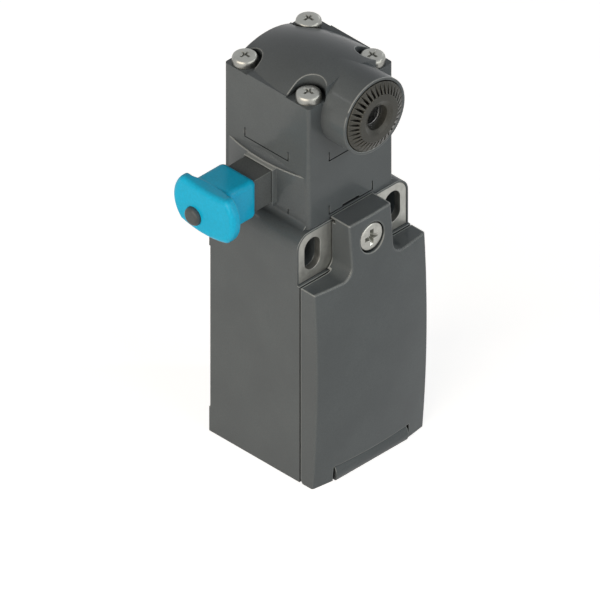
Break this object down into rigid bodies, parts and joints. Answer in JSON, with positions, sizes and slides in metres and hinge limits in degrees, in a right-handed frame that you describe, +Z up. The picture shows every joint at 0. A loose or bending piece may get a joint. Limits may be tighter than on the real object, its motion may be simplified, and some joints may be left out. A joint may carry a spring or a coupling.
{
  "type": "position switch",
  "caption": "Position switch: a moulded box with a hinged cover and conduit entry, a turning head with a serrated drive disc and a pull knob that resets the latch.",
  "frame": {"origin": "midway between the two fixing slots, on the flat back face that is screwed to the machine", "axes": "+Z up towards the head, -Y out of the front cover, +X to the right seen from the front; the reset knob points to -X"},
  "size_m": [0.0455, 0.0315, 0.0906],
  "materials": {
    "grey_housing": "fine matt texture",
    "blue_knob": "satin",
    "dark_pin": "matt",
    "zinc_steel": "zinc plated",
    "black_disc": "matt",
    "bright_steel": "bright",
    "brass": "satin",
    "bearing_bronze": "sintered",
    "seal_rubber": "matt",
    "pale_contact_plastic": "satin",
    "white_plunger": "satin"
  },
  "bodies": {
    "base": {"base_housing": "grey_housing", "fixing_plate": "zinc_steel", "cover_screw_insert": "brass", "hinge_pins": "bright_steel", "contact_block": "pale_contact_plastic", "contact_block_screws": "zinc_steel", "fixed_contacts": "brass", "terminal_clamps": "zinc_steel", "terminal_screws": "zinc_steel", "contact_spring": "bright_steel", "neck_gasket": "seal_rubber", "reset_module": "grey_housing", "head_gasket": "seal_rubber", "head_body": "grey_housing", "head_screws": "zinc_steel", "shaft_bushing": "bearing_bronze", "shaft_seal": "seal_rubber", "shaft_spring": "bright_steel", "plunger_spring": "bright_steel", "reset_spring": "bright_steel"},
    "shaft": {"actuator_shaft": "bright_steel", "drive_disc": "black_disc", "shaft_clip": "bright_steel"},
    "plunger": {"head_plunger": "white_plunger", "contact_carrier": "pale_contact_plastic", "contact_bridges": "brass"},
    "reset": {"reset_slider": "grey_housing", "reset_knob": "blue_knob", "reset_pin": "dark_pin"},
    "cover": {"front_cover": "grey_housing", "cover_gasket": "seal_rubber", "cover_screw": "zinc_steel"}
  },
  "joints": [
    {"name": "shaft_turn", "type": "hinge", "parent": "base", "child": "shaft", "pos_m": [0, -0.0302, 0.0302], "axis": [0, -1, 0], "range_deg": [-75, 75], "stiffness_Nm_per_rad": 0.02},
    {"name": "plunger_press", "type": "slide", "parent": "base", "child": "plunger", "axis": [0, 0, -1], "range_m": [0, 0.0008], "stiffness_N_per_m": 1500, "springref_m": -0.0004, "deforming": ["plunger_spring", "contact_spring"]},
    {"name": "reset_pull", "type": "slide", "parent": "base", "child": "reset", "axis": [-1, 0, 0], "range_m": [0, 0.006], "stiffness_N_per_m": 400, "springref_m": -0.002, "deforming": ["reset_spring"]},
    {"name": "cover_open", "type": "hinge", "parent": "base", "child": "cover", "pos_m": [0, -0.027, -0.0508], "axis": [1, 0, 0], "range_deg": [0, 85]}
  ]
}
